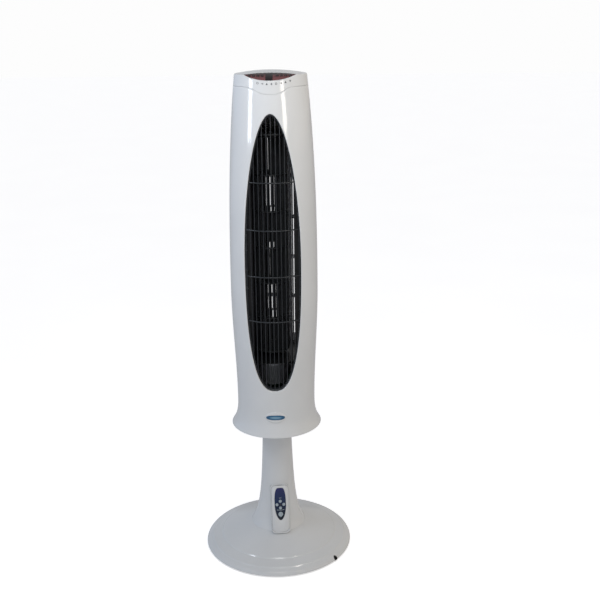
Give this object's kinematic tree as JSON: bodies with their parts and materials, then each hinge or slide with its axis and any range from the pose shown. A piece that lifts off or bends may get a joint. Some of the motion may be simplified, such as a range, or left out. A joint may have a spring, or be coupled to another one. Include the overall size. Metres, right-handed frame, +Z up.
{
  "type": "tower fan",
  "caption": "White pedestal tower fan: oscillating barrel head with an almond grille over a cross-flow blower, column with a cradled remote, round weighted base.",
  "frame": {"origin": "centre of the base on the floor, under the column and the head's pivot axis", "axes": "+Z up along the pivot axis, -Y is the front where the air comes out, +X is to the right seen from the front"},
  "size_m": [0.374, 0.374, 1.1973],
  "materials": {
    "white_gloss": "glossy off-white moulded ABS",
    "grey_plastic": "plain moulded grey ABS",
    "black_plastic": "satin black moulded plastic",
    "blower_grey": "dark grey glass-filled plastic",
    "steel": "bright zinc plated steel",
    "screw_steel": "zinc plated",
    "weight_iron": "black painted steel plate",
    "rubber": "moulded black rubber",
    "bronze": "sintered bronze",
    "acetal": "natural acetal",
    "smoked_lens": "smoked red transparent acrylic",
    "panel_mark": "grey printing ink",
    "badge_blue": "blue domed resin",
    "motor_paint": "grey painted steel",
    "dark_part": "dark plastic case",
    "circuit_board": "green solder mask",
    "button_dark": "dark tinted plastic",
    "remote_blue": "navy blue printed film",
    "cell_steel": "nickel plated",
    "key_silver": "silver grey painted plastic"
  },
  "bodies": {
    "stand": {"base_cover": "white_gloss", "base_plate": "black_plastic", "base_weight": "weight_iron", "rubber_feet": "rubber", "base_screws": "screw_steel", "cord_grommet": "rubber", "column": "white_gloss", "support_tube": "steel", "tube_collar": "steel", "pivot_plate": "grey_plastic", "fixed_gear": "acetal", "gear_screws": "screw_steel", "pivot_bush": "bronze", "thrust_washer": "acetal", "remote_cradle": "white_gloss"},
    "head": {"head_base": "grey_plastic", "pivot_spigot": "steel", "retaining_ring": "steel", "front_shell": "white_gloss", "rear_shell": "white_gloss", "shell_screws": "screw_steel", "top_cap": "white_gloss", "control_window": "smoked_lens", "panel_marks": "panel_mark", "front_grille": "black_plastic", "badge": "badge_blue", "air_guide": "black_plastic", "motor_housing": "motor_paint", "motor_bracket": "steel", "motor_mounts": "rubber", "motor_capacitor": "dark_part", "power_board": "circuit_board", "oscillation_motor": "motor_paint", "upper_bearing": "bronze", "bearing_rubber": "rubber", "control_board": "circuit_board", "display_module": "dark_part"},
    "blower": {"blower_wheel": "blower_grey", "motor_rotor": "steel"},
    "pinion": {"drive_pinion": "acetal"},
    "button_1": {"panel_button_1": "button_dark"},
    "button_2": {"panel_button_2": "button_dark"},
    "button_3": {"panel_button_3": "button_dark"},
    "button_4": {"panel_button_4": "button_dark"},
    "button_5": {"panel_button_5": "button_dark"},
    "button_6": {"panel_button_6": "button_dark"},
    "button_7": {"panel_button_7": "button_dark"},
    "button_8": {"panel_button_8": "button_dark"},
    "remote": {"remote_back": "white_gloss", "remote_front": "white_gloss", "remote_overlay": "remote_blue", "remote_board": "circuit_board", "remote_cell": "cell_steel", "battery_cover": "white_gloss"},
    "remote_key_up": {"key_up": "key_silver"},
    "remote_key_down": {"key_down": "key_silver"},
    "remote_key_left": {"key_left": "key_silver"},
    "remote_key_right": {"key_right": "key_silver"},
    "remote_key_power": {"key_power": "key_silver"}
  },
  "joints": [
    {"name": "head_oscillation", "type": "hinge", "parent": "stand", "child": "head", "pos_m": [0, 0, 0.38], "axis": [0, 0, 1], "range_deg": [-40, 40]},
    {"name": "blower_spin", "type": "hinge", "parent": "head", "child": "blower", "pos_m": [-0.006, 0.006, 0.53], "axis": [0, 0, 1], "continuous": true},
    {"name": "pinion_spin", "type": "hinge", "parent": "head", "child": "pinion", "pos_m": [-0.0451, 0, 0.376], "axis": [0, 0, 1], "range_deg": [-165, 165]},
    {"name": "button_1_press", "type": "slide", "parent": "head", "child": "button_1", "axis": [0, 0.4109, -0.9117], "range_m": [0, 0.001], "stiffness_N_per_m": 600, "springref_m": -0.0005},
    {"name": "button_2_press", "type": "slide", "parent": "head", "child": "button_2", "axis": [0, 0.4109, -0.9117], "range_m": [0, 0.001], "stiffness_N_per_m": 600, "springref_m": -0.0005},
    {"name": "button_3_press", "type": "slide", "parent": "head", "child": "button_3", "axis": [0, 0.4109, -0.9117], "range_m": [0, 0.001], "stiffness_N_per_m": 600, "springref_m": -0.0005},
    {"name": "button_4_press", "type": "slide", "parent": "head", "child": "button_4", "axis": [0, 0.4109, -0.9117], "range_m": [0, 0.001], "stiffness_N_per_m": 600, "springref_m": -0.0005},
    {"name": "button_5_press", "type": "slide", "parent": "head", "child": "button_5", "axis": [0, 0.4109, -0.9117], "range_m": [0, 0.001], "stiffness_N_per_m": 600, "springref_m": -0.0005},
    {"name": "button_6_press", "type": "slide", "parent": "head", "child": "button_6", "axis": [0, 0.4109, -0.9117], "range_m": [0, 0.001], "stiffness_N_per_m": 600, "springref_m": -0.0005},
    {"name": "button_7_press", "type": "slide", "parent": "head", "child": "button_7", "axis": [0, 0.4109, -0.9117], "range_m": [0, 0.001], "stiffness_N_per_m": 600, "springref_m": -0.0005},
    {"name": "button_8_press", "type": "slide", "parent": "head", "child": "button_8", "axis": [0, 0.4109, -0.9117], "range_m": [0, 0.001], "stiffness_N_per_m": 600, "springref_m": -0.0005},
    {"name": "remote_lift_out", "type": "slide", "parent": "stand", "child": "remote", "axis": [0.1096, -0.9624, 0.2487], "range_m": [0, 0.06]},
    {"name": "remote_key_up_press", "type": "slide", "parent": "remote", "child": "remote_key_up", "axis": [-0.1096, 0.9624, -0.2487], "range_m": [0, 0.0008], "stiffness_N_per_m": 500, "springref_m": -0.0005},
    {"name": "remote_key_down_press", "type": "slide", "parent": "remote", "child": "remote_key_down", "axis": [-0.1096, 0.9624, -0.2487], "range_m": [0, 0.0008], "stiffness_N_per_m": 500, "springref_m": -0.0005},
    {"name": "remote_key_left_press", "type": "slide", "parent": "remote", "child": "remote_key_left", "axis": [-0.1096, 0.9624, -0.2487], "range_m": [0, 0.0008], "stiffness_N_per_m": 500, "springref_m": -0.0005},
    {"name": "remote_key_right_press", "type": "slide", "parent": "remote", "child": "remote_key_right", "axis": [-0.1096, 0.9624, -0.2487], "range_m": [0, 0.0008], "stiffness_N_per_m": 500, "springref_m": -0.0005},
    {"name": "remote_key_power_press", "type": "slide", "parent": "remote", "child": "remote_key_power", "axis": [-0.1096, 0.9624, -0.2487], "range_m": [0, 0.0008], "stiffness_N_per_m": 500, "springref_m": -0.0005}
  ],
  "couplings": [
    {"joint": "pinion_spin", "follows": "head_oscillation", "ratio": 4}
  ]
}
